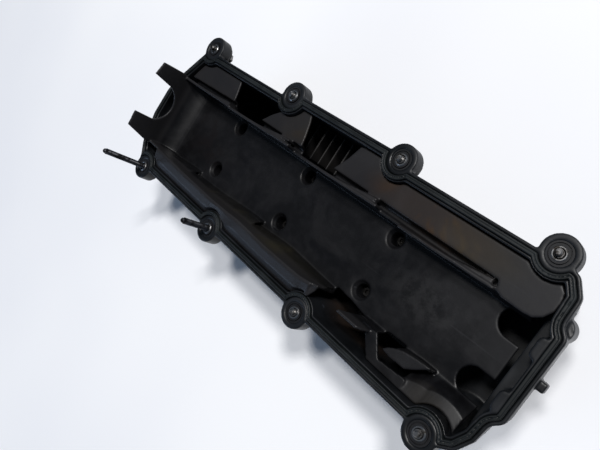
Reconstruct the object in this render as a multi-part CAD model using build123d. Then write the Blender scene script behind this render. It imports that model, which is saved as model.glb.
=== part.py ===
from build123d import *
import math
import os

# A valve cover for one bank of a six-cylinder engine, lying on its dome with the gasket face up.
# Frame: origin under the middle of the cover at the dome's resting plane, +X towards the squared
# end, +Y towards the stepped long side, +Z out of the gasket face. Millimetres.

# ---- driving dimensions: cover ----
BOSS_PITCH = 130.0             # bolt boss spacing along each row
FIRST_BOSS_X = -196.0          # first boss of the +Y row
ROW_Y = 72.2                   # each boss row's distance from the centre line
LOWER_ROW_SHIFT = -4.0         # the -Y row is offset along X
RIM_Z = 78.0                   # gasket face above the resting plane
UPPER_Y = 68.3                 # +Y edge of the flange
STEP_Y = 75.5                  # +Y edge between its two middle bosses
FAR_X = -231.0                 # tapered end of the flange
NEAR_X = 226.5                 # squared end of the flange
FLANGE_T = 6.0
FLANGE_W = 8.7
WALL = 3.0
DRAFT = 4.0                    # dome wall draft, degrees
DOME_EDGE_H = 8.0              # height of the dome's sloping lower edge
DOME_EDGE_SLOPE = 35.0
BOSS_R = 13.0
BOSS_H = 13.0
CAVITY_BOSS_CLEAR = 4.5        # the flange's inner edge stands off each boss by this much
GROOVE_DEPTH = 3.2
GROOVE_IN = 2.6                # groove's outer side, from the flange edge
GROOVE_W = 4.0
GASKET_SIDE_GAP = 0.15
GASKET_BASE_PROUD = 0.5
GASKET_RIDGE_H = 0.8
GASKET_RIDGE_W = 1.1

# ---- driving dimensions: fasteners ----
GROMMET_R = 8.4
GROMMET_LIP_R = 10.8
GROMMET_LIP_T = 2.4
SLEEVE_R = 5.0
SLEEVE_BORE_R = 3.3
SLEEVE_PROUD = 0.4
SEAT_Z = RIM_Z - BOSS_H - 3.0  # underside of a sleeve, where a bolt head seats
SHANK_R = 2.6                  # plain waisted shank inside the sleeve
THREAD_R = 3.0
SHORT_BOLT = 22.0
SHORT_SHANK = 14.0
LONG_BOLT = 67.0
LONG_SHANK = 19.5
HEX_H = 4.6
HEX_ACROSS_FLATS = 10.0
HEAD_FLANGE_R = 6.6
HEAD_FLANGE_T = 1.4
POINT_R = 2.3
POINT_LENGTH = 3.0
SHORT_DROP = 1.5               # how far a short bolt has slid back from its seat
LONG_DROPS = {"l1": 1.5, "l2": 19.0}

# ---- driving dimensions: baffle ----
CAM_Y = -4.0                   # the camshaft axis runs along the trough
FLOOR_Z = 56.0                 # top of the trough floor
SHEET = 2.5                    # moulding thickness
TROUGH_FAR_X = -209.0
TROUGH_NEAR_X = 203.0
LOW_FOOT_Y = -43.0             # edge of the trough floor on the -Y side
LOW_RIB_Y = -47.0              # ridge of the -Y side wall
LOW_RIB_Z = 82.0
HIGH_FOOT_Y = 29.5             # foot of the +Y side wall
GUTTER_Y = 38.8                # +Y side panels start here, beyond a gutter behind the ribs
GUTTER_Z = 66.0
COVE_R = 24.0                  # end wall's sweep into the floor
PANEL_Z = 74.0                 # top of the +Y side panels
PANEL_GAP = 0.9                # panels stop this far short of the flange's inner edge
NEAR_PANEL_Z = 69.0            # top of the panel and strut at the squared end
SCREW_PITCH = 105.5
SCREW_MID_X = -19.5
SCREW_HALF_Y = 24.5
DIMPLE_R = 8.5
DIMPLE_DEPTH = 3.0
WELL_R = 5.6
WELL_WALL = 1.9
WELL_BOTTOM_Z = 40.0
WELL_BOTTOM_T = 2.0
SCREW_HOLE_R = 2.4
SCREW_R = 2.0
SCREW_HEAD_R = 4.4
SCREW_HEAD_H = 3.2
SCREW_LENGTH = 14.0
PILOT_R = 2.05
PILLAR_R = 5.5
NOTCH_X = 192.0                # centre of the two drain notches at the squared end
NOTCH_HALF_Y = 24.0
NOTCH_R = 10.5

upper_x = [FIRST_BOSS_X + i * BOSS_PITCH for i in range(4)]
lower_x = [x + LOWER_ROW_SHIFT for x in upper_x]
bosses = {f"u{i + 1}": (x, ROW_Y) for i, x in enumerate(upper_x)}
bosses.update({f"l{i + 1}": (x, -ROW_Y) for i, x in enumerate(lower_x)})
screw_spots = [
    (SCREW_MID_X + step * SCREW_PITCH, CAM_Y + side * SCREW_HALF_Y)
    for side in (1, -1)
    for step in (-1, 0, 1)
]

# The flange's outer edge, anticlockwise from the corner beside boss l1.
OUTLINE_R = 8.0
outline_points = [
    (-211, -ROW_Y), (202, -ROW_Y), (213, -65), (219, -52), (220.5, -37.5), (NEAR_X, -31.5),
    (NEAR_X, 31.5), (220.5, 37), (219.5, 56), (210, UPPER_Y), (72, UPPER_Y), (60, STEP_Y),
    (-62, STEP_Y), (-74, UPPER_Y), (-203, UPPER_Y), (-221, 35), (-230.5, 11), (FAR_X, -19),
    (-223, -51), (-214, -64),
]


# ---- helpers ----
def rounded(points, radius):
    """A closed polygon face with every corner rounded."""
    face = make_face(Polyline(*points, close=True))
    return fillet(face.vertices(), radius)


def prism(face, z0, z1):
    """A solid between two heights with the face as its section."""
    return extrude(Pos(0, 0, z0) * face, z1 - z0)


def block(x0, x1, y0, y1, z0, z1):
    """An axis-aligned block given by its limits."""
    centre = Pos((x0 + x1) / 2, (y0 + y1) / 2, (z0 + z1) / 2)
    return centre * Box(x1 - x0, y1 - y0, z1 - z0)


def post(x, y, radius, z0, z1):
    """An upright cylinder between two heights."""
    return Pos(x, y, (z0 + z1) / 2) * Cylinder(radius, z1 - z0)


def along_x(points, x0, x1):
    """A solid whose section is a polygon of (y, z) points, running along X."""
    face = make_face(Polyline(*[(x0, y, z) for y, z in points], close=True))
    return extrude(face, x1 - x0, dir=(1, 0, 0))


def plan(points, z0, z1):
    """A solid whose plan is a polygon of (x, y) points."""
    return prism(make_face(Polyline(*points, close=True)), z0, z1)


outline = rounded(outline_points, OUTLINE_R)


def inset(distance, boss_clear):
    """The outline drawn in, and cut back from every boss centre."""
    face = offset(outline, -distance)
    for x, y in bosses.values():
        face -= Pos(x, y) * Circle(boss_clear)
    return face


def ring(distance, boss_clear, width):
    """A band of the given width that follows the flange and passes inside every boss."""
    return inset(distance, boss_clear) - inset(distance + width, boss_clear + width)


def cavity_face(gap=0.0):
    """The flange's inner edge, drawn in by the gap."""
    return inset(FLANGE_W + gap, BOSS_R + CAVITY_BOSS_CLEAR + gap)


# ---- cover shell ----
GROOVE_BOSS_R = 12.4           # groove's outer side round a boss, from the boss centre
LIP_Z = 60.0                   # lower edge of the deep lip at the squared end
LIP_SETBACK = 1.2
BULGE_SPOT = (217.3, 34.8)     # round bulge under the flange's corner
BULGE_R = 8.8
BULGE_Z = 54.0
TAB_HALF_Y = 3.4               # clip tab on the squared end
TAB_Z = 63.0
LEDGE_X = 206.0                # shelf beyond the baffle
LEDGE_HALF_Y = 52.0
PAD_SPANS = ((10, 26), (-30, -14))
PAD_X = (213.0, 224.0)
PAD_R = 4.0
GUSSET_T = 4.0
GUSSET_Z = 46.0                # foot of each boss gusset
GUSSET_REACH = 7.0
FIN_PITCH = 11.0
FIN_COUNT = 11
FIN_X0 = -80.0
FIN_T = 1.8
FIN_Y0 = 33.0
FIN_TOP_Z = 48.0
RIB_T = 4.0
RIB_BOTTOM_Z = 8.0


def dome_solid(gap, bottom_z):
    """The space inside the flange's inner edge, run down with the dome's draft to a bevelled bottom."""
    top_z = RIM_Z - FLANGE_T
    bevel_z = bottom_z + DOME_EDGE_H
    shrink = (top_z - bevel_z) * math.tan(math.radians(DRAFT))
    upper = extrude(Pos(0, 0, top_z) * cavity_face(gap), -(top_z - bevel_z), taper=DRAFT)
    lower = extrude(Pos(0, 0, bevel_z) * cavity_face(gap + shrink), -DOME_EDGE_H, taper=DOME_EDGE_SLOPE)
    return upper + lower


def build_shell():
    under_flange = RIM_Z - FLANGE_T
    dome = dome_solid(-WALL, 0.0)
    rim = outline
    for x, y in bosses.values():
        rim += Pos(x, y) * Circle(BOSS_R)
    shell = prism(rim, under_flange, RIM_Z) + dome
    for x, y in bosses.values():
        inward = -math.copysign(1, y)
        shell += post(x, y, BOSS_R, RIM_Z - BOSS_H, under_flange)
        gusset_y = sorted([y + inward * (BOSS_R - 1), y + inward * (BOSS_R + GUSSET_REACH)])
        shell += block(x - GUSSET_T / 2, x + GUSSET_T / 2, *gusset_y, GUSSET_Z, under_flange)
    # deep lip, rounded bulge and clip tab on the squared end
    lip = offset(outline, -LIP_SETBACK) & Pos(NEAR_X - 6, 0) * Rectangle(18, 96)
    shell += prism(lip, LIP_Z, under_flange)
    shell += post(*BULGE_SPOT, BULGE_R, BULGE_Z, under_flange)
    shell += block(215, -FAR_X, -TAB_HALF_Y - 0.8, TAB_HALF_Y - 0.8, TAB_Z - 4, TAB_Z + 4)
    # upright ribs along both long sides
    for i in range(3):
        x = FIRST_BOSS_X + (i + 0.5) * BOSS_PITCH
        shell += block(x - RIB_T / 2, x + RIB_T / 2, 1 - UPPER_Y, UPPER_Y - 4, RIB_BOTTOM_Z, under_flange)
    # hollow inside
    shell -= prism(cavity_face(), under_flange, RIM_Z + 1)
    shell -= dome_solid(0.0, WALL)
    # inner fins, screw pillars, shelf and the two pads at the squared end
    for i in range(FIN_COUNT):
        x = FIN_X0 + i * FIN_PITCH
        shell += block(x - FIN_T / 2, x + FIN_T / 2, FIN_Y0, STEP_Y, WALL - 1, FIN_TOP_Z) & dome
    for x, y in screw_spots:
        shell += post(x, y, PILLAR_R, WALL - 1, WELL_BOTTOM_Z)
        shell -= post(x, y, PILOT_R, WELL_BOTTOM_Z - SCREW_LENGTH, WELL_BOTTOM_Z)
    inside_wall = offset(outline, 1 - FLANGE_W)
    shelf = inside_wall & Pos(LEDGE_X + 20, 0) * Rectangle(40, 2 * LEDGE_HALF_Y)
    shell += prism(shelf, FLOOR_Z - SHEET, FLOOR_Z)
    for y0, y1 in PAD_SPANS:
        x0, x1 = PAD_X
        pad = rounded([(x0, y0), (x1, y0), (x1, y1), (x0, y1)], PAD_R)
        shell += prism(pad, FLOOR_Z - 1, RIM_Z)
    # gasket groove and grommet bores
    shell -= prism(ring(GROOVE_IN, GROOVE_BOSS_R, GROOVE_W), RIM_Z - GROOVE_DEPTH, RIM_Z + 1)
    for x, y in bosses.values():
        shell -= post(x, y, GROMMET_R, RIM_Z - BOSS_H - 1, RIM_Z + 1)
    return shell


# ---- gasket ----
def build_gasket():
    gap = GASKET_SIDE_GAP
    base = ring(GROOVE_IN + gap, GROOVE_BOSS_R + gap, GROOVE_W - 2 * gap)
    gasket = prism(base, RIM_Z - GROOVE_DEPTH, RIM_Z + GASKET_BASE_PROUD)
    ridge_top = RIM_Z + GASKET_BASE_PROUD + GASKET_RIDGE_H
    for step in (0.5, GROOVE_W - 0.5 - GASKET_RIDGE_W):
        ridge = ring(GROOVE_IN + step, GROOVE_BOSS_R + step, GASKET_RIDGE_W)
        gasket += prism(ridge, RIM_Z, ridge_top)
    return gasket


# ---- oil baffle ----
END_TOP_Z = 118.0
NOTCH_ARC_R = 20.4
NOTCH_ARC_Z = 98.9
# end wall's silhouette as (y, z): upper finger, notch, lower finger
end_outline = [
    (LOW_FOOT_Y, FLOOR_Z - SHEET), (HIGH_FOOT_Y, FLOOR_Z - SHEET), (34.5, 85.5), (33.5, 112.5), (19.3, 115),
    (15, 91.4), (-23, 91.4), (-23, 114.5), (-39.2, 113.5), (LOW_RIB_Y, 87),
]
# -Y side wall in three overlapping lengths: (start x, end x, foot y at both ends, ridge y at both ends).
# Each foot swells into the trough towards its end, which leaves a step before the next length.
low_walls = [
    (-208, -147, -44.5, -42.5, -46, -47.5),
    (-150, -44, -45.5, -40.6, -47.5, -47),
    (-46, 66, -44.5, -42, -46.5, -44.5),
]
# two short wall pieces left standing between openings: (x, z) corners
wall_tabs = [
    [(89.5, 79), (116, 79), (123, 67), (121, 54), (104, 54)],
    [(134.5, 76), (157, 76), (168, 54), (144, 54)],
]
# +Y side ribs: (start x, end x, start y, end y, top z), each standing out more towards +X
high_ribs = [
    (-207, -128, 31.5, 33.5, 82), (-141, -38, 31, 36, 80), (-24, 68, 31, 35.5, 78), (90, 173, 30, 34, 76),
]
# plans of the three +Y side panels and of the strut and panel at the squared end
first_panel = [(-214, GUTTER_Y), (-200, 66), (-139, 66), (-134, GUTTER_Y)]
second_panel = [(-88, GUTTER_Y), (-68, 60), (-50, 70), (-38, 70), (-33, 50), (-29, GUTTER_Y)]
third_panel = [
    (12, GUTTER_Y), (21, 60), (24, 72), (192, 72), (212, 58), (212, 42), (206, 31), (199, 29.5), (176, 29.5),
    (173, GUTTER_Y),
]
near_panel = [
    (111, -45), (123, -42), (134.5, -56.5), (151.5, -55.3), (155, -47), (170, -41), (202, -41), (212, -66),
    (127, -68),
]
floor_cuts = [(66, 104), (122, 144)]     # (start x, end x) of the openings beside the trough floor
panel_runs = [(-206, -134), (-88, -29), (12, 173)]


def corner(face, x, z):
    """The face's corner nearest to a point of its upright plane."""
    return min(face.vertices(), key=lambda v: abs(v.X - x) + abs(v.Z - z))


def end_wall():
    """End wall with two fingers and a camshaft notch, swept into the floor."""
    x0 = TROUGH_FAR_X
    x1 = x0 + COVE_R + 8
    under = FLOOR_Z - SHEET
    strip = make_face(Polyline(
        (x0, 0, END_TOP_Z), (x0, 0, under), (x1, 0, under),
        (x1, 0, FLOOR_Z), (x0 + SHEET, 0, FLOOR_Z), (x0 + SHEET, 0, END_TOP_Z), close=True,
    ))
    strip = fillet(corner(strip, x0, under), COVE_R)
    strip = fillet(corner(strip, x0 + SHEET, FLOOR_Z), COVE_R - SHEET)
    swept = extrude(strip, 80, dir=(0, 1, 0), both=True)
    silhouette = along_x(end_outline, x0 - 1, x1)
    silhouette -= Pos(x0, CAM_Y, NOTCH_ARC_Z) * Rot(0, 90, 0) * Cylinder(NOTCH_ARC_R, 80)
    return swept & silhouette


def wall_section(x, foot_y, ridge_y, ridge_z):
    """The -Y side wall's section at one station, from the floor to the ridge."""
    half = SHEET / 2
    points = [
        (x, foot_y - half, FLOOR_Z - SHEET), (x, foot_y + half, FLOOR_Z - SHEET), (x, foot_y + half, FLOOR_Z),
        (x, ridge_y + half, ridge_z), (x, ridge_y - half, ridge_z),
    ]
    return make_face(Polyline(*points, close=True))


def low_wall(x0, x1, foot0, foot1, ridge0, ridge1):
    sections = [wall_section(x0, foot0, ridge0, LOW_RIB_Z), wall_section(x1, foot1, ridge1, LOW_RIB_Z)]
    return loft(sections, ruled=True)


def low_tab(corners):
    """A piece of the straight -Y side wall inside an outline of (x, z) corners."""
    xs = [x for x, z in corners]
    wall = low_wall(min(xs), max(xs), LOW_FOOT_Y, LOW_FOOT_Y, LOW_RIB_Y, LOW_RIB_Y)
    window = make_face(Polyline(*[(x, 0, z) for x, z in corners], close=True))
    return wall & extrude(window, 80, dir=(0, -1, 0))


def wedge(x0, x1, y0, y1, z0, z1):
    """An upright sheet that starts as a point and leaves the wall line as it goes."""
    half = SHEET / 2
    xb, yb = x0 + 0.2 * (x1 - x0), y0 + 0.2 * (y1 - y0)
    return plan([(x0, y0), (xb, yb - half), (x1, y1 - half), (x1, y1 + half), (xb, yb + half)], z0, z1)


def build_baffle():
    under = FLOOR_Z - SHEET
    floor_x = TROUGH_FAR_X + COVE_R
    floor = block(floor_x, TROUGH_NEAR_X, LOW_FOOT_Y - 1, HIGH_FOOT_Y + 2, under, FLOOR_Z)
    outside, inside = LOW_FOOT_Y - 2, LOW_FOOT_Y + 5
    for x0, x1 in floor_cuts:
        floor -= plan([(x0, outside), (x0, inside), (x1, inside - 4), (x1, outside)], under, FLOOR_Z)
    baffle = floor + end_wall()
    # -Y side: wall lengths, tabs and the outer panel
    for length in low_walls:
        baffle += low_wall(*length)
    for corners in wall_tabs:
        baffle += low_tab(corners)
    baffle += block(156, TROUGH_NEAR_X, LOW_FOOT_Y - 2, LOW_FOOT_Y + 0.5, under, NEAR_PANEL_Z)
    low_panel = [
        (LOW_RIB_Y + 1, LOW_RIB_Z), (-54, 79.5), (-68, 73.5), (-68, 73.5 - SHEET), (-54, 79.5 - SHEET),
        (LOW_RIB_Y + 1, LOW_RIB_Z - SHEET),
    ]
    panels = along_x(low_panel, -188, 64) + plan(near_panel, NEAR_PANEL_Z - SHEET, NEAR_PANEL_Z)
    # +Y side: ribs, gutter and panels
    for x0, x1, y0, y1, top in high_ribs:
        baffle += wedge(x0, x1, y0, y1, under, top)
    gutter_y = GUTTER_Y + SHEET
    gutter = [
        (HIGH_FOOT_Y, under), (33, GUTTER_Z), (gutter_y, GUTTER_Z), (gutter_y, PANEL_Z), (GUTTER_Y, PANEL_Z),
        (GUTTER_Y, GUTTER_Z + SHEET), (31, GUTTER_Z + SHEET), (HIGH_FOOT_Y - SHEET, FLOOR_Z),
    ]
    for x0, x1 in panel_runs:
        panels += along_x(gutter, x0, x1)
    foot_wall = [(HIGH_FOOT_Y, under), (32.5, 70), (30, 70), (HIGH_FOOT_Y - SHEET, FLOOR_Z)]
    baffle += along_x(foot_wall, -206, 173)
    for points in (first_panel, second_panel, third_panel):
        panels += plan(points, PANEL_Z - SHEET, PANEL_Z)
    panels += along_x([(26, FLOOR_Z), (26, under), (34, PANEL_Z - SHEET), (34, PANEL_Z)], 172, 199)
    baffle += panels & prism(cavity_face(PANEL_GAP), FLOOR_Z - 5, END_TOP_Z)
    # screw wells
    for x, y in screw_spots:
        baffle += post(x, y, WELL_R + WELL_WALL, WELL_BOTTOM_Z, FLOOR_Z - 1)
        baffle += post(x, y, DIMPLE_R + WELL_WALL, FLOOR_Z - DIMPLE_DEPTH - SHEET, FLOOR_Z - 1)
        baffle -= Pos(x, y, FLOOR_Z - DIMPLE_DEPTH / 2) * Cone(WELL_R + 0.4, DIMPLE_R, DIMPLE_DEPTH)
        baffle -= post(x, y, WELL_R, WELL_BOTTOM_Z + WELL_BOTTOM_T, FLOOR_Z + 1)
        baffle -= post(x, y, SCREW_HOLE_R, WELL_BOTTOM_Z - 1, FLOOR_Z)
    # drain notches at the squared end
    for side in (1, -1):
        y = CAM_Y + side * NOTCH_HALF_Y
        baffle -= post(NOTCH_X, y, NOTCH_R, FLOOR_Z - 8, FLOOR_Z + 9)
        baffle -= block(NOTCH_X, TROUGH_NEAR_X + 1, y - NOTCH_R, y + NOTCH_R, FLOOR_Z - 8, FLOOR_Z + 9)
    return baffle


# ---- fasteners and seals ----
def build_screw(x, y):
    head_z = WELL_BOTTOM_Z + WELL_BOTTOM_T
    screw = post(x, y, SCREW_HEAD_R, head_z, head_z + SCREW_HEAD_H)
    screw = chamfer(screw.faces().sort_by(Axis.Z)[-1].edges(), 0.8)
    screw += post(x, y, SCREW_R, head_z - SCREW_LENGTH, head_z)
    socket = Pos(x, y, head_z + 1.2) * extrude(RegularPolygon(2.0, 6), SCREW_HEAD_H)
    return screw - socket


def build_grommet(x, y):
    boss_bottom = RIM_Z - BOSS_H
    grommet = post(x, y, GROMMET_R, boss_bottom, RIM_Z - 0.6)
    grommet += post(x, y, GROMMET_LIP_R, boss_bottom - GROMMET_LIP_T, boss_bottom)
    grommet -= post(x, y, GROMMET_R - 1.2, RIM_Z - 1.6, RIM_Z)
    grommet += post(x, y, GROMMET_R - 2.0, RIM_Z - 2.0, RIM_Z - 0.2)
    return grommet - post(x, y, SLEEVE_R, boss_bottom - GROMMET_LIP_T - 1, RIM_Z + 1)


def build_sleeve(x, y):
    sleeve = post(x, y, SLEEVE_R, SEAT_Z, RIM_Z + SLEEVE_PROUD)
    sleeve -= post(x, y, SLEEVE_BORE_R, SEAT_Z - 1, RIM_Z + 2)
    return chamfer(sleeve.edges().filter_by(GeomType.CIRCLE).sort_by(Axis.Z)[-2:], 0.5)


def build_bolt(x, y, length, shank, drop):
    seat = SEAT_Z - drop
    bolt = post(x, y, THREAD_R, seat + shank, seat + length - POINT_LENGTH)
    bolt = chamfer(bolt.faces().sort_by(Axis.Z)[-1].edges(), 0.6)
    bolt += post(x, y, SHANK_R, seat, seat + shank)
    bolt += post(x, y, POINT_R, seat + length - POINT_LENGTH - 1, seat + length)
    bolt = chamfer(bolt.faces().sort_by(Axis.Z)[-1].edges(), 0.7)
    bolt += post(x, y, HEAD_FLANGE_R, seat - HEAD_FLANGE_T, seat)
    hexagon = RegularPolygon(HEX_ACROSS_FLATS / 2, 6, major_radius=False)
    bolt += Pos(x, y, seat - HEAD_FLANGE_T - HEX_H) * extrude(hexagon, HEX_H)
    return bolt


def build_all():
    parts = {"cover_shell": build_shell(), "rim_gasket": build_gasket(), "oil_baffle": build_baffle()}
    for i, (x, y) in enumerate(screw_spots):
        parts[f"baffle_screw_{i + 1}"] = build_screw(x, y)
    for name, (x, y) in bosses.items():
        parts[f"grommet_{name}"] = build_grommet(x, y)
        parts[f"sleeve_{name}"] = build_sleeve(x, y)
        long = name in LONG_DROPS
        length, shank = (LONG_BOLT, LONG_SHANK) if long else (SHORT_BOLT, SHORT_SHANK)
        parts[f"bolt_{name}"] = build_bolt(x, y, length, shank, LONG_DROPS.get(name, SHORT_DROP))
    return parts


os.makedirs("parts", exist_ok=True)
for node, solid in build_all().items():
    export_step(solid, f"parts/{node}.step")
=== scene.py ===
import math

import bmesh
import bpy
from mathutils import Matrix, Vector


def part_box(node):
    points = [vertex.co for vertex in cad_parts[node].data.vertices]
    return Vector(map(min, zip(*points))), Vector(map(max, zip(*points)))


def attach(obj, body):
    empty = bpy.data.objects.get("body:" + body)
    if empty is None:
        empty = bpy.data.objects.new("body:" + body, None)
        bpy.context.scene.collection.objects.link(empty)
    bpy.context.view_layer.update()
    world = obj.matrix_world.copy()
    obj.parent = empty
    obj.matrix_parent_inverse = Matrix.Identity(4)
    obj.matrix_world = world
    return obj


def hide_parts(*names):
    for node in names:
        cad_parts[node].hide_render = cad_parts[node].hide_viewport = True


# A moulded plastic valve cover lying on its dome, gasket face up, with its oil baffle, rim gasket and
# captive bolts. Lengths in this script are millimetres in the part's own frame; Blender gets metres.
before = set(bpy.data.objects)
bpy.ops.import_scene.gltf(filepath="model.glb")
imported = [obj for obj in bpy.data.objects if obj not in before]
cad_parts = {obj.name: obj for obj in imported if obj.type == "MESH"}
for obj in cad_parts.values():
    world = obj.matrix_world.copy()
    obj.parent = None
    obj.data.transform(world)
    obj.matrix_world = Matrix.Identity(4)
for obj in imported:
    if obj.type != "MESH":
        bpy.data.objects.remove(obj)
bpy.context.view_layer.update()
MM = 0.001

# ---- driving dimensions, as in the CAD model ----
BOSS_PITCH = 130.0
FIRST_BOSS_X = -196.0
ROW_Y = 72.2
LOWER_ROW_SHIFT = -4.0
BOSS_R = 13.0
FLANGE_W = 8.7
UPPER_Y = 68.3
STEP_Y = 75.5
STEP_X0 = -68.0
STEP_X1 = 66.0
CAM_Y = -4.0
FLOOR_Z = 56.0
SHEET = 2.5
FAR_X = -209.0
NEAR_X = 203.0
LOW_FOOT_Y = -43.0
GUTTER_Y = 38.8                # +Y panels start here, beyond a gutter behind the ribs
HIGH_FOOT_Y = 29.5
COVE_R = 24.0
PANEL_Z = 74.0
SCREW_PITCH = 105.5
SCREW_MID_X = -19.5
SCREW_HALF_Y = 24.5
NOTCH_X = 192.0
NOTCH_HALF_Y = 24.0
NOTCH_R = 10.5
WALL_GAP = 0.8                 # baffle panels stop this far from the cover's wall
BOSS_CLEAR = 4.5               # the flange's inner edge stands off each boss by this much
CAM_NOTCH_R = 20.4             # camshaft notch in the end wall
CAM_NOTCH_Z = 98.9
END_TOP_Z = 118.0
WALL_SHEET = 2.4               # thickness of the baffle's upright walls
TAB_SHEET = 2.2
LEAF_SHEET = 2.0
WELL_HOLE_R = 8.4              # hole in the trough floor that a screw well fills

upper_x = [FIRST_BOSS_X + i * BOSS_PITCH for i in range(4)]
lower_x = [x + LOWER_ROW_SHIFT for x in upper_x]
bosses = {f"u{i + 1}": (x, ROW_Y) for i, x in enumerate(upper_x)}
bosses.update({f"l{i + 1}": (x, -ROW_Y) for i, x in enumerate(lower_x)})
screw_spots = [
    (SCREW_MID_X + step * SCREW_PITCH, CAM_Y + side * SCREW_HALF_Y)
    for side in (1, -1)
    for step in (-1, 0, 1)
]


# ---- small mathematics ----
def mix(a, b, t):
    return a + (b - a) * t


def ease(a, b, x):
    """0 before a, 1 after b, smooth in between."""
    t = min(1.0, max(0.0, (x - a) / (b - a)))
    return t * t * (3 - 2 * t)


def steps(a, b, pitch):
    """Evenly spaced stations from a to b, about a pitch apart."""
    count = max(1, round(abs(b - a) / pitch))
    return [mix(a, b, i / count) for i in range(count + 1)]


def along(table, x):
    """A value read from (x, value) pairs, in straight runs between them."""
    for (xa, va), (xb, vb) in zip(table, table[1:]):
        if x <= xb:
            return mix(va, vb, min(1.0, max(0.0, (x - xa) / (xb - xa))))
    return table[-1][1]


# ---- mesh helpers: every shape is a closed solid, gathered in one bmesh per piece ----
def add_loft(bm, loops):
    """Closed loops with equal counts, joined one after the other and capped at both ends."""
    rings = [[bm.verts.new(Vector(p) * MM) for p in loop] for loop in loops]
    count = len(loops[0])
    for a, b in zip(rings, rings[1:]):
        for i in range(count):
            j = (i + 1) % count
            bm.faces.new((a[i], a[j], b[j], b[i]))
    bm.faces.new(list(reversed(rings[0])))
    bm.faces.new(rings[-1])


def add_lathe(bm, profile, centre, sides=48):
    """A closed (radius, z) profile turned about an upright axis; a radius of 0 closes on the axis."""
    x, y = centre
    rings = []
    for r, z in profile:
        if r < 1e-6:
            rings.append([bm.verts.new(Vector((x, y, z)) * MM)])
            continue
        ring = []
        for i in range(sides):
            a = 2 * math.pi * i / sides
            ring.append(bm.verts.new(Vector((x + r * math.cos(a), y + r * math.sin(a), z)) * MM))
        rings.append(ring)
    pairs = list(zip(rings, rings[1:]))
    if len(rings[0]) > 1:
        pairs.append((rings[-1], rings[0]))
    for a, b in pairs:
        for i in range(sides):
            j = (i + 1) % sides
            corners = [a[i % len(a)], a[j % len(a)], b[j % len(b)], b[i % len(b)]]
            unique = list(dict.fromkeys(corners))
            if len(unique) > 2:
                bm.faces.new(unique)


def add_plate(bm, outer, holes, z0, z1):
    """A flat plate between two heights, with an outline and holes given as lists of (x, y) points."""
    curve = bpy.data.curves.new("plate", "CURVE")
    curve.dimensions = "2D"
    curve.fill_mode = "BOTH"
    curve.extrude = (z1 - z0) / 2 * MM
    for points in [outer, *holes]:
        spline = curve.splines.new("POLY")
        spline.points.add(len(points) - 1)
        for p, (x, y) in zip(spline.points, points):
            p.co = (x * MM, y * MM, 0, 1)
        spline.use_cyclic_u = True
    holder = bpy.data.objects.new("plate", curve)
    mesh = bpy.data.meshes.new_from_object(holder)
    mesh.transform(Matrix.Translation((0, 0, (z0 + z1) / 2 * MM)))
    plate = bmesh.new()
    plate.from_mesh(mesh)
    bmesh.ops.remove_doubles(plate, verts=plate.verts, dist=1e-6)
    merged = bpy.data.meshes.new("plate")
    plate.to_mesh(merged)
    plate.free()
    bm.from_mesh(merged)
    bpy.data.objects.remove(holder)
    bpy.data.meshes.remove(mesh)
    bpy.data.meshes.remove(merged)
    bpy.data.curves.remove(curve)


def strip_loop(x, line, thickness):
    """The outline, at one station, of a sheet whose section follows a line of (y, z) points."""
    left, right = [], []
    for i, (y, z) in enumerate(line):
        ya, za = line[max(0, i - 1)]
        yb, zb = line[min(len(line) - 1, i + 1)]
        length = math.hypot(yb - ya, zb - za)
        ny, nz = -(zb - za) / length, (yb - ya) / length
        left.append((x, y + ny * thickness / 2, z + nz * thickness / 2))
        right.append((x, y - ny * thickness / 2, z - nz * thickness / 2))
    return left + right[::-1]


def add_sheet(bm, stations, line_at, thickness=SHEET):
    """A bent sheet along X: line_at(x) gives its section's (y, z) points at each station."""
    add_loft(bm, [strip_loop(x, line_at(x), thickness) for x in stations])


def arc(cx, cy, radius, start, end, count):
    """Points on an arc, angles in degrees."""
    angles = [math.radians(a) for a in steps(start, end, abs(end - start) / count)]
    return [(cx + radius * math.cos(a), cy + radius * math.sin(a)) for a in angles]


def circle(cx, cy, radius, count=40):
    return arc(cx, cy, radius, 0, 360, count)[:-1]


def new_object(name, bm):
    mesh = bpy.data.meshes.new(name)
    bmesh.ops.recalc_face_normals(bm, faces=bm.faces)
    bm.to_mesh(mesh)
    bm.free()
    obj = bpy.data.objects.new(name, mesh)
    bpy.context.scene.collection.objects.link(obj)
    return obj


def bake(obj):
    """Applies the object's modifiers to its mesh."""
    bpy.context.view_layer.update()
    graph = bpy.context.evaluated_depsgraph_get()
    mesh = bpy.data.meshes.new_from_object(obj.evaluated_get(graph))
    obj.modifiers.clear()
    old = obj.data
    obj.data = mesh
    bpy.data.meshes.remove(old)


def mould(obj, voxel, rounds, keep):
    """Fuses overlapping solids into one skin and rounds its edges and inner corners like a moulding."""
    remesh = obj.modifiers.new("fuse", "REMESH")
    remesh.mode = "VOXEL"
    remesh.voxel_size = voxel * MM
    smooth = obj.modifiers.new("round", "SMOOTH")
    smooth.factor = 0.5
    smooth.iterations = rounds
    thin = obj.modifiers.new("thin", "DECIMATE")
    thin.ratio = keep
    bake(obj)
    obj.data.shade_smooth()


def copy_of(node, name):
    """A welded copy of a CAD node's mesh, to be refined into the piece that stands for it."""
    bm = bmesh.new()
    bm.from_mesh(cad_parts[node].data)
    bmesh.ops.remove_doubles(bm, verts=bm.verts, dist=1e-6)
    return new_object(name, bm)


def place(obj, body, slot, material, *nodes):
    obj.data.materials.clear()
    obj.data.materials.append(material)
    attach(obj, body)
    if nodes:
        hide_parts(*nodes)


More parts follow.
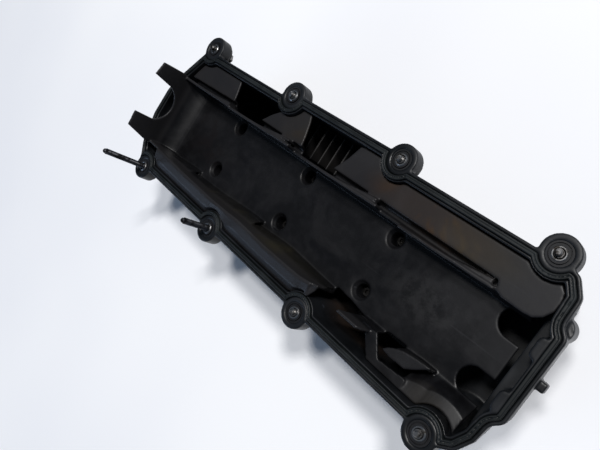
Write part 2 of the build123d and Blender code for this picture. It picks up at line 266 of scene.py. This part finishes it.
# ---- materials ----
class Shader:
    """A node material built from a few chained masks."""

    def __init__(self, name):
        self.material = bpy.data.materials.new(name)
        self.material.use_nodes = True
        self.tree = self.material.node_tree
        self.bsdf = self.tree.nodes["Principled BSDF"]
        self.place = self.add("ShaderNodeTexCoord").outputs["Object"]

    def add(self, kind, **values):
        node = self.tree.nodes.new(kind)
        for key, value in values.items():
            setattr(node, key, value)
        return node

    def link(self, source, target):
        self.tree.links.new(source, target)

    def noise(self, scale, detail=3.0, roughness=0.55, stretch=(1, 1, 1), distortion=0.0):
        """Noise over the object, with cells about 1/scale metres across."""
        mapping = self.add("ShaderNodeMapping")
        mapping.inputs["Scale"].default_value = stretch
        self.link(self.place, mapping.inputs["Vector"])
        noise = self.add("ShaderNodeTexNoise")
        noise.inputs["Scale"].default_value = scale
        noise.inputs["Detail"].default_value = detail
        noise.inputs["Roughness"].default_value = roughness
        noise.inputs["Distortion"].default_value = distortion
        self.link(mapping.outputs["Vector"], noise.inputs["Vector"])
        return noise.outputs["Fac"]

    def ramp(self, source, low, high, start=0.0, end=1.0):
        """The source between two levels, stretched to run from start to end."""
        node = self.add("ShaderNodeMapRange")
        node.interpolation_type = "SMOOTHSTEP"
        node.inputs["From Min"].default_value = low
        node.inputs["From Max"].default_value = high
        node.inputs["To Min"].default_value = start
        node.inputs["To Max"].default_value = end
        self.link(source, node.inputs["Value"])
        return node.outputs["Result"]

    def combine(self, a, b, operation="MULTIPLY"):
        node = self.add("ShaderNodeMath", operation=operation)
        self.link(a, node.inputs[0])
        if isinstance(b, (int, float)):
            node.inputs[1].default_value = b
        else:
            self.link(b, node.inputs[1])
        return node.outputs[0]

    def spot(self, centre, reach):
        """1 at a place on the object, falling to 0 at the given reach along each axis, in millimetres."""
        mapping = self.add("ShaderNodeMapping")
        mapping.vector_type = "TEXTURE"
        mapping.inputs["Location"].default_value = Vector(centre) * MM
        mapping.inputs["Scale"].default_value = Vector(reach) * MM
        self.link(self.place, mapping.inputs["Vector"])
        gradient = self.add("ShaderNodeTexGradient", gradient_type="SPHERICAL")
        self.link(mapping.outputs["Vector"], gradient.inputs["Vector"])
        return gradient.outputs["Fac"]

    def height(self):
        """Height above the resting plane, in metres."""
        node = self.add("ShaderNodeSeparateXYZ")
        self.link(self.place, node.inputs["Vector"])
        return node.outputs["Z"]

    def tint(self, colour, fac, other):
        """Mixes a constant colour into what is there already."""
        node = self.add("ShaderNodeMix", data_type="RGBA")
        self.link(fac, node.inputs["Factor"])
        if isinstance(colour, tuple):
            node.inputs["A"].default_value = (*colour, 1)
        else:
            self.link(colour, node.inputs["A"])
        node.inputs["B"].default_value = (*other, 1)
        return node.outputs["Result"]

    def bumps(self, pairs):
        """Chains bump nodes from (height source, distance in millimetres, strength)."""
        normal = None
        for source, distance, strength in pairs:
            bump = self.add("ShaderNodeBump")
            bump.inputs["Distance"].default_value = distance * MM
            bump.inputs["Strength"].default_value = strength
            self.link(source, bump.inputs["Height"])
            if normal is not None:
                self.link(normal, bump.inputs["Normal"])
            normal = bump.outputs["Normal"]
        self.link(normal, self.bsdf.inputs["Normal"])


def cover_plastic():
    """Black glass-filled nylon: fine mould grain, dull with patches of oil."""
    s = Shader("cover_plastic")
    blotch = s.ramp(s.noise(28, 4), 0.35, 0.7)
    oil = s.ramp(s.noise(14, 3, distortion=0.6), 0.5, 0.72)
    grain = s.noise(1400, 2)
    scratch = s.ramp(s.noise(90, 2, stretch=(0.15, 3, 3)), 0.66, 0.8)
    colour = s.tint((0.003, 0.0035, 0.0042), blotch, (0.0065, 0.0075, 0.0095))
    varnish = s.combine(s.ramp(s.spot((92, -56, 36), (52, 14, 34)), 0.0, 0.6), s.ramp(oil, 0, 1, 0.4, 1.0))
    colour = s.tint(colour, s.combine(varnish, 0.7), (0.026, 0.017, 0.012))
    fins = s.combine(s.ramp(s.spot((-20, 48, 36), (70, 26, 30)), 0.0, 0.6), 0.7)
    colour = s.tint(colour, fins, (0.022, 0.020, 0.019))
    colour = s.tint(colour, scratch, (0.020, 0.022, 0.028))
    s.link(colour, s.bsdf.inputs["Base Color"])
    rough = s.combine(s.ramp(blotch, 0, 1, 0.40, 0.52), s.ramp(oil, 0, 1, 0.0, -0.14), "ADD")
    s.link(rough, s.bsdf.inputs["Roughness"])
    s.bsdf.inputs["Specular IOR Level"].default_value = 0.32
    s.bumps([(grain, 0.05, 0.5), (s.noise(160, 3), 0.15, 0.35)])
    return s.material


def baffle_plastic():
    """Black moulding washed by engine oil: varnish-brown films, a paler patch on the trough floor, fine
    scratches; its raised faces carry painted light, painted lighter as lit tops.
    """
    s = Shader("baffle_plastic")
    blotch = s.ramp(s.noise(22, 5, 0.6, distortion=0.5), 0.35, 0.68)
    fine = s.ramp(s.noise(120, 4), 0.42, 0.7)
    film = s.ramp(s.noise(16, 3, distortion=1.2), 0.46, 0.66)
    colour = s.tint((0.0022, 0.0022, 0.0027), blotch, (0.0045, 0.0045, 0.0055))
    # painted light: faces higher than 68 to 73 mm are painted lighter, standing in for the lit tops of ribs,
    # ridge and panels above the shaded trough
    painted_lit_tops = s.ramp(s.height(), 68 * MM, 73 * MM)
    colour = s.tint(colour, painted_lit_tops, (0.0125, 0.012, 0.013))
    colour = s.tint(colour, s.combine(fine, 0.22), (0.012, 0.012, 0.0135))
    stains = [
        ((110, 50, 74), (75, 22, 20), (0.040, 0.022, 0.011), 0.85),
        ((150, 48, 74), (45, 16, 20), (0.045, 0.034, 0.014), 0.7),
        ((-45, 52, 74), (30, 20, 16), (0.026, 0.020, 0.013), 0.5),
        ((10, -44, 66), (80, 10, 22), (0.024, 0.021, 0.012), 0.7),
        ((-70, -44, 66), (60, 10, 22), (0.020, 0.018, 0.012), 0.6),
        ((84, -56, 60), (30, 16, 24), (0.045, 0.026, 0.015), 0.7),
        ((178, -56, 66), (22, 12, 14), (0.035, 0.028, 0.017), 0.6),
        ((-150, -4, 58), (60, 40, 30), (0.0060, 0.0045, 0.0045), 0.7),
    ]
    for centre, reach, shade, amount in stains:
        mask = s.combine(s.ramp(s.spot(centre, reach), 0.0, 0.7), s.ramp(film, 0, 1, 0.25, 1.0))
        colour = s.tint(colour, s.combine(mask, amount), shade)
    # a paler, duller patch on the trough floor towards the squared end, broken up by noise
    pale_floor_spot = s.ramp(s.spot((142, -4, 56), (62, 26, 20)), 0.05, 0.75)
    pale_floor_patch = s.combine(pale_floor_spot, s.ramp(s.noise(60, 5, 0.65), 0.42, 0.62))
    colour = s.tint(colour, s.combine(pale_floor_patch, 0.45), (0.015, 0.015, 0.016))
    scratch = s.ramp(s.noise(70, 2, stretch=(0.12, 2.5, 2.5)), 0.68, 0.80)
    colour = s.tint(colour, s.combine(scratch, 0.5), (0.026, 0.026, 0.029))
    s.link(colour, s.bsdf.inputs["Base Color"])
    rough = s.combine(s.ramp(blotch, 0, 1, 0.42, 0.54), s.ramp(film, 0, 1, 0.0, -0.08), "ADD")
    rough = s.combine(rough, s.ramp(pale_floor_patch, 0, 1, 0.0, 0.10), "ADD")
    s.link(rough, s.bsdf.inputs["Roughness"])
    s.bsdf.inputs["Specular IOR Level"].default_value = 0.24
    s.bumps([(s.noise(900, 2), 0.04, 0.4), (s.noise(110, 3), 0.25, 0.35)])
    return s.material


def rubber(name, base, worn, roughness):
    """Dull rubber with a dusty bloom."""
    s = Shader(name)
    bloom = s.ramp(s.noise(45, 4), 0.4, 0.7)
    colour = s.tint(base, bloom, worn)
    s.link(colour, s.bsdf.inputs["Base Color"])
    s.link(s.ramp(bloom, 0, 1, roughness, roughness + 0.15), s.bsdf.inputs["Roughness"])
    s.bsdf.inputs["Specular IOR Level"].default_value = 0.3
    s.bumps([(s.noise(1100, 2), 0.05, 0.5), (s.noise(200, 2), 0.1, 0.3)])
    return s.material


def steel(name, base, grime, roughness):
    """Plated steel with oil grime in blotches."""
    s = Shader(name)
    s.bsdf.inputs["Metallic"].default_value = 1.0
    dirt = s.ramp(s.noise(160, 4, 0.6), 0.42, 0.62)
    colour = s.tint(base, dirt, grime)
    s.link(colour, s.bsdf.inputs["Base Color"])
    s.link(s.ramp(dirt, 0, 1, roughness, roughness + 0.25), s.bsdf.inputs["Roughness"])
    s.bumps([(s.noise(700, 3), 0.03, 0.5)])
    return s.material


def floor_paint():
    s = Shader("floor_paper")
    cloud = s.ramp(s.noise(2.0, 2), 0.3, 0.7)
    s.link(s.tint((0.80, 0.81, 0.84), cloud, (0.86, 0.865, 0.88)), s.bsdf.inputs["Base Color"])
    s.bsdf.inputs["Roughness"].default_value = 0.8
    s.bumps([(s.noise(300, 2), 0.02, 0.2)])
    return s.material


# ---- the cover and its gasket ----
def build_cover(material):
    shell = copy_of("cover_shell", "cover_moulding")
    mould(shell, voxel=0.9, rounds=2, keep=0.5)
    place(shell, "cover", "cover_plastic", material, "cover_shell")


def build_gasket(material):
    gasket = copy_of("rim_gasket", "rim_gasket_rubber")
    mould(gasket, voxel=0.4, rounds=2, keep=0.5)
    place(gasket, "cover", "gasket_rubber", material, "rim_gasket")


# ---- the oil baffle ----
def wall_limit(x, side):
    """How far out a baffle panel reaches on one long side before it meets the cover's wall."""
    if side > 0:
        step = ease(STEP_X0 - 6, STEP_X0 + 6, x) - ease(STEP_X1 - 6, STEP_X1 + 6, x)
        limit = UPPER_Y - FLANGE_W - WALL_GAP + step * (STEP_Y - UPPER_Y)
        spots = upper_x
    else:
        limit = ROW_Y - FLANGE_W - WALL_GAP
        spots = lower_x
    reach = BOSS_R + BOSS_CLEAR + WALL_GAP
    for bx in spots:
        if abs(x - bx) < reach:
            limit = min(limit, ROW_Y - math.sqrt(reach ** 2 - (x - bx) ** 2))
    return side * limit


def add_floor(bm):
    holes = [circle(x, y, WELL_HOLE_R) for x, y in screw_spots]
    k1, k2 = (CAM_Y + side * NOTCH_HALF_Y for side in (1, -1))
    outer = [
        (FAR_X + COVE_R - 3, -45), (-139, -46), (0, -43), (66, -45.5), (67.5, -38.5), (86, -39.8),
        (103, -42.5), (122, -42.5), (124, -39.5), (142, -38.6), (170, -38.6), (172, LOW_FOOT_Y),
        (NEAR_X, LOW_FOOT_Y),
        (NEAR_X, k2 - NOTCH_R), *arc(NOTCH_X, k2, NOTCH_R, -90, -270, 20), (NEAR_X, k2 + NOTCH_R),
        (NEAR_X, k1 - NOTCH_R), *arc(NOTCH_X, k1, NOTCH_R, -90, -270, 20), (NEAR_X, k1 + NOTCH_R),
        (NEAR_X, HIGH_FOOT_Y + 2), (FAR_X + COVE_R - 3, HIGH_FOOT_Y + 2),
    ]
    add_plate(bm, outer, holes, FLOOR_Z - SHEET, FLOOR_Z)
    well = [
        (9.0, 56.0), (8.3, 55.9), (6.4, 53.2), (5.6, 52.4), (5.6, 42.0), (2.4, 42.0), (2.4, 40.0),
        (7.5, 40.0), (7.5, 51.0), (9.0, 53.4),
    ]
    for spot in screw_spots:
        add_lathe(bm, well, spot)


def add_end_wall(bm):
    """The end wall's two fingers stand up out of the floor in one sweep, with the camshaft notch between."""
    upper = [(HIGH_FOOT_Y, 56), (34.5, 85.5), (33.5, 112.5), (19.3, 115), (15, 91.4)]
    lower = [(-23, 91.4), (-23, 114.5), (-39.2, 113.5), (-47, 87), (LOW_FOOT_Y, 56)]
    notch = arc(CAM_Y, CAM_NOTCH_Z, CAM_NOTCH_R, -25, -155, 24)
    face = upper + notch + lower
    slab = bmesh.new()
    add_loft(slab, [[(x, y, z) for y, z in face] for x in (FAR_X - 2, FAR_X + COVE_R + 8)])
    silhouette = new_object("silhouette", slab)
    sweep = bmesh.new()
    outer = [(FAR_X, END_TOP_Z), (FAR_X, FLOOR_Z + COVE_R)]
    outer += [
        (FAR_X + COVE_R * (1 - math.cos(a)), FLOOR_Z - SHEET + COVE_R * (1 - math.sin(a)))
        for a in [math.radians(d) for d in range(0, 91, 6)]
    ]
    outer.append((FAR_X + COVE_R + 7, FLOOR_Z - SHEET))
    inner_r = COVE_R - SHEET
    inner = [(FAR_X + SHEET, END_TOP_Z), (FAR_X + SHEET, FLOOR_Z + COVE_R)]
    inner += [
        (FAR_X + SHEET + inner_r * (1 - math.cos(a)), FLOOR_Z + inner_r * (1 - math.sin(a)))
        for a in [math.radians(d) for d in range(0, 91, 6)]
    ]
    inner.append((FAR_X + COVE_R + 7, FLOOR_Z))
    loop = outer + inner[::-1]
    add_loft(sweep, [[(x, y, z) for x, z in loop] for y in (-60, 45)])
    strip = new_object("sweep", sweep)
    cut = strip.modifiers.new("cut", "BOOLEAN")
    cut.operation = "INTERSECT"
    cut.object = silhouette
    cut.solver = "EXACT"
    bake(strip)
    bm.from_mesh(strip.data)
    bpy.data.objects.remove(silhouette)
    bpy.data.objects.remove(strip)


# The -Y side wall's ridge and foot as (x, y), from the tapered end to the first side opening.
ridge_line = [
    (-209, -45.5), (-169, -46.3), (-138, -47.2), (-80, -47.9), (-57, -47.2), (-39, -46.2),
    (-24, -46.5), (2, -47.4), (47, -46.6), (60, -44.6), (69, -42.6),
]
foot_line = [(-209, -44), (-139, -45), (-108, -43.8), (-33, -43), (0, -40), (8, -39.9), (66, -44.5)]
# leaf-shaped scoops along the wall: (start x, end x, foot y at start, foot y at end)
leaves = [(-188, -139, -44.5, -41.0), (-108, -33, -43.5, -38.0), (8, 66, -39.5, -41.5)]
# plan of the strut and of the ledge along the flange at the squared end
strut_line = [(112, -45), (123, -42), (134.5, -56.5), (152, -55), (158, -54), (160, -55)]


def add_low_side(bm):
    """The -Y side: steep wall, ridge, leaf-shaped scoops and the outer panel."""
    def wall(x):
        foot, ridge = along(foot_line, x), along(ridge_line, x)
        return [(foot, 54.6), (foot - 0.4, 60), (mix(foot, ridge, 0.55), 72), (ridge, 81.2)]

    add_sheet(bm, steps(FAR_X + 1, 67, 4), wall, WALL_SHEET)

    def panel(x):
        ridge, edge = along(ridge_line, x), wall_limit(x, -1)
        kink = max(ridge - 9.0, edge + 2)
        middle = mix(kink, edge, 0.5)
        return [(ridge + 0.9, 81.6), (ridge - 1.5, 81.8), (kink, 79.6), (middle, 76.6), (edge, 74.2)]

    add_sheet(bm, steps(-188, 61, 4), panel, WALL_SHEET)
    tip = [(59, -44.5), (67.5, -42.5), (66, -48), (62.5, -55), (59, -55)]
    add_plate(bm, tip, [], 77.8, 80.6)
    for x0, x1, y0, y1 in leaves:
        def leaf(x):
            t = ease(x0, x1, x) ** 0.8
            foot, ridge = mix(y0, y1, t), along(ridge_line, x)
            bulge, lip = mix(foot, ridge, 0.3), mix(foot, ridge, 0.75)
            return [(foot, 55), (foot - 0.4, 60), (bulge, 66), (lip, 76 - 5 * t)]
        add_sheet(bm, steps(x0, x1, 4), leaf, LEAF_SHEET)


def add_low_openings(bm):
    """The squared end's -Y side: two pointed tabs, a strut between two openings, and the closing panel."""
    def tab_one(x):
        t, end = ease(90, 105, x), ease(112, 121, x)
        low, high = mix(77.5, 55, t), mix(80, 66, end)
        middle = (mix(-46.9, -44.5, t), mix(low, high, 0.5))
        return [(mix(-46.8, -42, t), low), middle, (mix(-47, -45, end), high)]
    add_sheet(bm, steps(91, 121, 3), tab_one, TAB_SHEET)
    edge = [(x, wall_limit(x, -1)) for x in steps(206, 127, 3)]
    add_plate(bm, strut_line + [(160, -62.5)] + [p for p in edge if p[0] < 160], [], 66.5, 69)

    def strut_foot(x):
        return [(-42, 55), (-43.2, 68)]
    add_sheet(bm, steps(108, 122, 3), strut_foot, TAB_SHEET)
    tab_two = [
        (133, -48.5), (136, -45), (139.3, -42.8), (146.9, -39.3), (156, -37.6), (165.8, -36.4),
        (170.1, -36.8), (165, -41.2), (160, -45.3), (154.5, -49.2), (140.1, -49.7),
    ]
    add_plate(bm, tab_two, [], 68, 70.2)

    def tab_foot(x):
        return [(mix(-41, -39.5, ease(138, 165, x)), 55), (mix(-41.5, -38, ease(138, 165, x)), 68.5)]
    add_sheet(bm, steps(142, 170, 4), tab_foot, TAB_SHEET)

    def near_slope(x):
        inner, edge_y = mix(-46, -38, ease(157, 172, x)), wall_limit(x, -1)
        middle = mix(inner, edge_y, 0.5)
        rise = (mix(inner, middle, 0.6), 61)
        return [(inner, 54.8), (inner - 2, 55.6), rise, (middle, 65.8), (edge_y, 67.8)]
    add_sheet(bm, steps(157, NEAR_X + 1, 3), near_slope, WALL_SHEET)


# +Y side ribs: (start x, end x, start y, end y, start top z, end top z)
ribs = [
    (-207, -128, 31.5, 33.5, 82, 81), (-141, -38, 31, 36.2, 81, 80), (-24, 68, 31, 36, 80, 78),
    (90, 173, 30, 35, 77, 75),
]
panel_runs = [(-206, -134), (-88, -30), (13, 173)]


def add_high_side(bm):
    """The +Y side: foot wall, overlapping ribs that fork at their ends, a gutter and three panels."""
    def foot(x):
        return [(HIGH_FOOT_Y, 54.8), (HIGH_FOOT_Y + 0.8, 62), (HIGH_FOOT_Y + 1.8, 69)]
    add_sheet(bm, steps(-206, 172, 8), foot, 2.6)

    for x0, x1, y0, y1, top0, top1 in ribs:
        def inner(x):
            t = (x - x0) / (x1 - x0)
            y = mix(y0, mix(y0, y1, 0.45), t)
            rise = 0.35 + 0.65 * ease(x0, x0 + 16, x) if x0 > -200 else 1.0
            top = mix(72, mix(top0, top1, t), rise)
            return [(HIGH_FOOT_Y + 1.7, 67), (mix(HIGH_FOOT_Y + 2, y, 0.7), 72), (y, top)]
        add_sheet(bm, steps(x0, x1, 4), inner, 2.5)

        def outer(x):
            t = (x - x0) / (x1 - x0)
            y = mix(mix(y0, y1, 0.2) + 0.4, y1 + 1.0, ease(0.45, 1.0, t))
            return [(y - 0.4, 66), (y, mix(top0, top1, t) - 1.2)]
        add_sheet(bm, steps(mix(x0, x1, 0.45), x1 - 3, 4), outer, 2.2)

    def gutter(x):
        return [(HIGH_FOOT_Y + 1.5, 67), (35, 66), (37.6, 66.8), (39.0, 69.5), (39.7, 73)]
    for x0, x1 in panel_runs:
        add_sheet(bm, steps(x0, x1, 8), gutter, TAB_SHEET)

    def edge(x0, x1):
        return [(x, wall_limit(x, 1)) for x in steps(x0, x1, 3)]
    first = [
        (-139, 59), (-137.2, 54), (-135.5, 48), (-134.2, 43), (-133.6, GUTTER_Y), (-209, 36.5), (-205.8, 44),
        (-201.5, 52.5),
    ]
    second = [
        (-38, 66), (-35.2, 60), (-33, 53), (-31, 46), (-29.6, GUTTER_Y), (-88, GUTTER_Y), (-80, 48),
        (-68, 58),
    ]
    third = [
        (209.4, 54), (210.8, 47), (210.4, 41), (207, 34.5), (202, 30.6), (196, 29.8), (180, 30), (175, 32),
        (172, GUTTER_Y), (12, GUTTER_Y), (15, 44), (19, 51), (21.5, 58), (24, 65),
    ]
    add_plate(bm, first + edge(-199, -141), [], PANEL_Z - SHEET, PANEL_Z)
    add_plate(bm, second + edge(-64, -42), [], PANEL_Z - SHEET, PANEL_Z)
    add_plate(bm, third + edge(28, 205), [], PANEL_Z - SHEET, PANEL_Z)

    def ramp(x):
        return [(28, 55), (30, 60), (31.5, 68), (33, 73)]
    add_sheet(bm, steps(170, 200, 5), ramp, WALL_SHEET)


def build_baffle(material):
    bm = bmesh.new()
    add_floor(bm)
    add_end_wall(bm)
    add_low_side(bm)
    add_low_openings(bm)
    add_high_side(bm)
    baffle = new_object("oil_baffle_moulding", bm)
    mould(baffle, voxel=0.75, rounds=3, keep=0.5)
    place(baffle, "cover", "baffle_plastic", material, "oil_baffle")


# ---- bolts ----
LONG_BOLTS = ("l1", "l2")
SEAT_GAP = 0.06                # a seated head's face stops this far short of its sleeve
THREAD_PITCH = 1.0
THREAD_DEPTH = 0.45
HEX_H = 4.6
HEX_R = 10.0 / math.sqrt(3)
POINT_R = 2.3


def add_thread(bm, centre, z0, z1, radius):
    """A helical thread as one closed skin: the profile's phase turns with the angle."""
    sides = 28
    x, y = centre
    rings = []
    levels = steps(z0, z1, THREAD_PITCH / 5)
    for z in levels:
        run = ease(z0, z0 + 1.2, z) * (1 - ease(z1 - 1.2, z1, z))
        ring = []
        for i in range(sides):
            phase = (z / THREAD_PITCH - i / sides) % 1.0
            groove = THREAD_DEPTH * (1 - abs(2 * phase - 1)) * run
            a = 2 * math.pi * i / sides
            r = radius - groove
            ring.append(bm.verts.new(Vector((x + r * math.cos(a), y + r * math.sin(a), z)) * MM))
        rings.append(ring)
    for a, b in zip(rings, rings[1:]):
        for i in range(sides):
            j = (i + 1) % sides
            bm.faces.new((a[i], a[j], b[j], b[i]))
    bm.faces.new(list(reversed(rings[0])))
    bm.faces.new(rings[-1])


def build_bolt(name, centre, material):
    low, high = (v.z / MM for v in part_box(f"bolt_{name}"))
    seat = low + HEX_H + 1.4
    bm = bmesh.new()
    x, y = centre
    turns = [math.radians(60 * i) for i in range(6)]
    hexagon = [(x + HEX_R * math.cos(a), y + HEX_R * math.sin(a)) for a in turns]
    levels = [(low, 0.86), (low + 0.6, 1.0), (seat - 1.4, 1.0)]
    add_loft(bm, [[(mix(x, px, k), mix(y, py, k), z) for px, py in hexagon] for z, k in levels])
    face = seat - SEAT_GAP
    flange = [
        (0, seat - 1.5), (6.1, seat - 1.5), (6.6, seat - 0.9), (6.6, face - 0.4), (6.2, face), (0, face),
    ]
    add_lathe(bm, flange, centre)
    thread_end = high - 3.0
    shank_end = min(seat + 16, thread_end - 3)
    add_lathe(bm, [(0, seat - 0.5), (2.6, seat - 0.5), (2.6, shank_end), (0, shank_end)], centre, 28)
    add_thread(bm, centre, shank_end - 0.8, thread_end, 2.98)
    base = thread_end - 1
    point = [(0, base), (POINT_R, base), (POINT_R, high - 0.9), (POINT_R - 0.8, high), (0, high)]
    add_lathe(bm, point, centre, 28)
    bolt = new_object(f"captive_bolt_{name}", bm)
    bolt.data.shade_smooth()
    sharp = bolt.modifiers.new("crisp", "EDGE_SPLIT")
    sharp.split_angle = math.radians(40)
    place(bolt, f"bolt_{name}", "bolt_steel", material, f"bolt_{name}")


# ---- setting ----
CAMERA_AT = Vector((279.515, 48.286, 430.885))
CAMERA_RIGHT = Vector((0.62803, 0.53944, -0.56088))
CAMERA_BACK = Vector((0.58874, 0.14195, 0.79576))
FOCAL_LENGTH = 32.504


def add_camera():
    data = bpy.data.cameras.new("camera")
    data.lens = FOCAL_LENGTH
    data.sensor_width = 36.0
    data.clip_start = 0.01
    camera = bpy.data.objects.new("camera", data)
    back = CAMERA_BACK.normalized()
    right = (CAMERA_RIGHT - back * CAMERA_RIGHT.dot(back)).normalized()
    up = back.cross(right)
    axes = Matrix((right, up, back)).transposed().to_4x4()
    camera.matrix_world = Matrix.Translation(CAMERA_AT * MM) @ axes
    bpy.context.scene.collection.objects.link(camera)
    bpy.context.scene.camera = camera


def add_light(name, at, size, power, colour, look_at=(0, 0, 0.05)):
    data = bpy.data.lights.new(name, "AREA")
    data.shape = "RECTANGLE"
    data.size, data.size_y = size
    data.energy = power
    data.color = colour
    light = bpy.data.objects.new(name, data)
    light.location = at
    light.rotation_euler = (Vector(look_at) - Vector(at)).to_track_quat("-Z", "Y").to_euler()
    bpy.context.scene.collection.objects.link(light)


def add_setting():
    bm = bmesh.new()
    bmesh.ops.create_grid(bm, x_segments=8, y_segments=8, size=12.0)
    floor = new_object("floor", bm)
    floor.data.materials.append(floor_paint())
    world = bpy.data.worlds.new("studio")
    world.use_nodes = True
    background = world.node_tree.nodes["Background"]
    background.inputs["Color"].default_value = (0.60, 0.76, 1.0, 1)
    background.inputs["Strength"].default_value = 0.15
    bpy.context.scene.world = world
    add_light("softbox_side", (1.58, 2.44, 4.0), (0.66, 0.66), 156.0, (1.0, 0.985, 0.97))
    add_light("softbox_high", (0.39, 1.37, 4.0), (0.6, 0.6), 94.0, (1.0, 0.985, 0.97))
    add_light("window", (-1.9, -2.5, 1.0), (2.4, 1.0), 20.0, (0.55, 0.72, 1.0))
    bpy.context.scene.view_settings.view_transform = "Standard"


# ---- assembly ----
cover_black = cover_plastic()
baffle_black = baffle_plastic()
gasket_rubber = rubber("gasket_rubber", (0.003, 0.0042, 0.0045), (0.008, 0.0105, 0.0115), 0.5)
grommet_rubber = rubber("grommet_rubber", (0.004, 0.004, 0.0048), (0.009, 0.0095, 0.012), 0.5)
sleeve_steel = steel("sleeve_steel", (0.30, 0.30, 0.30), (0.04, 0.036, 0.032), 0.32)
bolt_steel = steel("bolt_steel", (0.26, 0.255, 0.25), (0.025, 0.022, 0.020), 0.34)
stud_steel = steel("oiled_bolt_steel", (0.055, 0.056, 0.062), (0.014, 0.014, 0.015), 0.40)
screw_steel = steel("screw_steel", (0.030, 0.029, 0.028), (0.010, 0.0095, 0.009), 0.45)

build_cover(cover_black)
build_gasket(gasket_rubber)
build_baffle(baffle_black)
for boss_name, boss_centre in bosses.items():
    build_bolt(boss_name, boss_centre, stud_steel if boss_name in LONG_BOLTS else bolt_steel)

cad_finish = {"grommet": grommet_rubber, "sleeve": sleeve_steel, "baffle_screw": screw_steel}
for node_name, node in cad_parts.items():
    for start, finish in cad_finish.items():
        if node_name.startswith(start):
            node.data.materials.clear()
            node.data.materials.append(finish)

add_setting()
add_camera()
